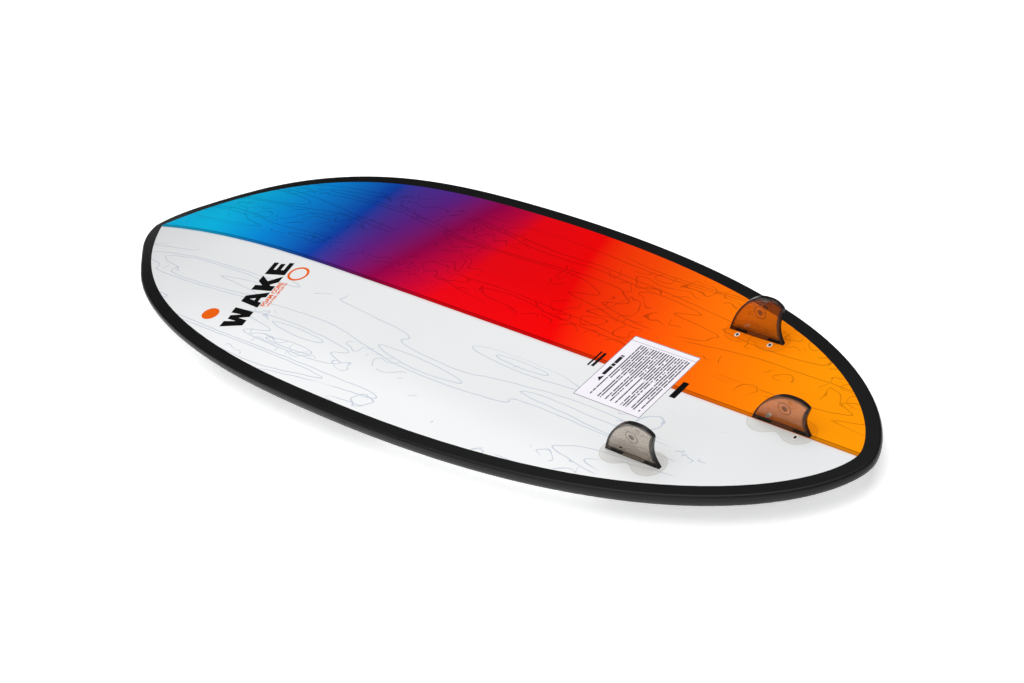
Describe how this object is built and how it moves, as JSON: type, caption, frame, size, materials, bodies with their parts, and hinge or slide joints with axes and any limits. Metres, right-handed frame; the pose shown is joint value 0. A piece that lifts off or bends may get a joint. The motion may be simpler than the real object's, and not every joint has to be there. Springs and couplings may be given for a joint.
{
  "type": "wake surf board",
  "caption": "Finned wake surf board lying deck down: foam halves on a wood stringer, laminate skins, black rail band, removable screwed-in fins and deck traction pads.",
  "frame": {"origin": "under the middle of the board on the plane it rests on when lying deck down, on the stringer line", "axes": "+X towards the nose, +Y towards the plain half, +Z out of the running surface, the way the fins point"},
  "size_m": [1.6496, 0.6244, 0.1414],
  "materials": {
    "foam": "fine bead foam",
    "wood": "thin bare plywood strip",
    "laminate": "clear gloss over a plain half and a colour-graded half",
    "deck_laminate": "clear gloss over off-white",
    "rail": "satin black",
    "label": "printed film",
    "box": "cloudy moulded plastic",
    "insert": "white moulded plastic",
    "screw": "dark steel",
    "pad": "closed-cell foam, brushed",
    "fin": "smoke-tinted clear plastic"
  },
  "bodies": {
    "board": {"core_left": "foam", "core_right": "foam", "stringer": "wood", "bottom_skin": "laminate", "deck_skin": "deck_laminate", "rail_band": "rail", "info_label": "label", "fin_box_left": "box", "fin_box_right": "box", "fin_box_centre": "box", "inserts_left": "insert", "inserts_right": "insert", "inserts_centre": "insert", "front_pad_left": "pad", "front_pad_right": "pad", "tail_pad_left": "pad", "tail_pad_centre": "pad", "tail_pad_right": "pad", "tail_kick": "pad"},
    "fin_left": {"fin_left": "fin"},
    "grub_screw_left_front": {"grub_screw_left_front": "screw"},
    "grub_screw_left_rear": {"grub_screw_left_rear": "screw"},
    "fin_right": {"fin_right": "fin"},
    "grub_screw_right_front": {"grub_screw_right_front": "screw"},
    "grub_screw_right_rear": {"grub_screw_right_rear": "screw"},
    "fin_centre": {"fin_centre": "fin"},
    "grub_screw_centre_front": {"grub_screw_centre_front": "screw"},
    "grub_screw_centre_rear": {"grub_screw_centre_rear": "screw"}
  },
  "joints": [
    {"name": "left_fin_lift", "type": "slide", "parent": "board", "child": "fin_left", "axis": [-0.0104, -0.0785, 0.9969], "range_m": [0, 0.016]},
    {"name": "left_front_screw_turn", "type": "hinge", "parent": "board", "child": "grub_screw_left_front", "pos_m": [-0.48676, -0.15976, 0.05482], "axis": [-0.0073, 0.6495, 0.7604], "range_deg": [0, 720]},
    {"name": "left_rear_screw_turn", "type": "hinge", "parent": "board", "child": "grub_screw_left_rear", "pos_m": [-0.54806, -0.15971, 0.05419], "axis": [-0.0073, 0.6495, 0.7604], "range_deg": [0, 720]},
    {"name": "right_fin_lift", "type": "slide", "parent": "board", "child": "fin_right", "axis": [-0.0104, 0.0785, 0.9969], "range_m": [0, 0.016]},
    {"name": "right_front_screw_turn", "type": "hinge", "parent": "board", "child": "grub_screw_right_front", "pos_m": [-0.48676, 0.15976, 0.05482], "axis": [-0.0073, -0.6495, 0.7604], "range_deg": [0, 720]},
    {"name": "right_rear_screw_turn", "type": "hinge", "parent": "board", "child": "grub_screw_right_rear", "pos_m": [-0.54806, 0.15971, 0.05419], "axis": [-0.0073, -0.6495, 0.7604], "range_deg": [0, 720]},
    {"name": "centre_fin_lift", "type": "slide", "parent": "board", "child": "fin_centre", "axis": [-0.0212, 0, 0.9998], "range_m": [0, 0.016]},
    {"name": "centre_front_screw_turn", "type": "hinge", "parent": "board", "child": "grub_screw_centre_front", "pos_m": [-0.63918, -0.00341, 0.05057], "axis": [-0.015, -0.7071, 0.7069], "range_deg": [0, 720]},
    {"name": "centre_rear_screw_turn", "type": "hinge", "parent": "board", "child": "grub_screw_centre_rear", "pos_m": [-0.70046, 0.00341, 0.04927], "axis": [-0.015, 0.7071, 0.7069], "range_deg": [0, 720]}
  ]
}
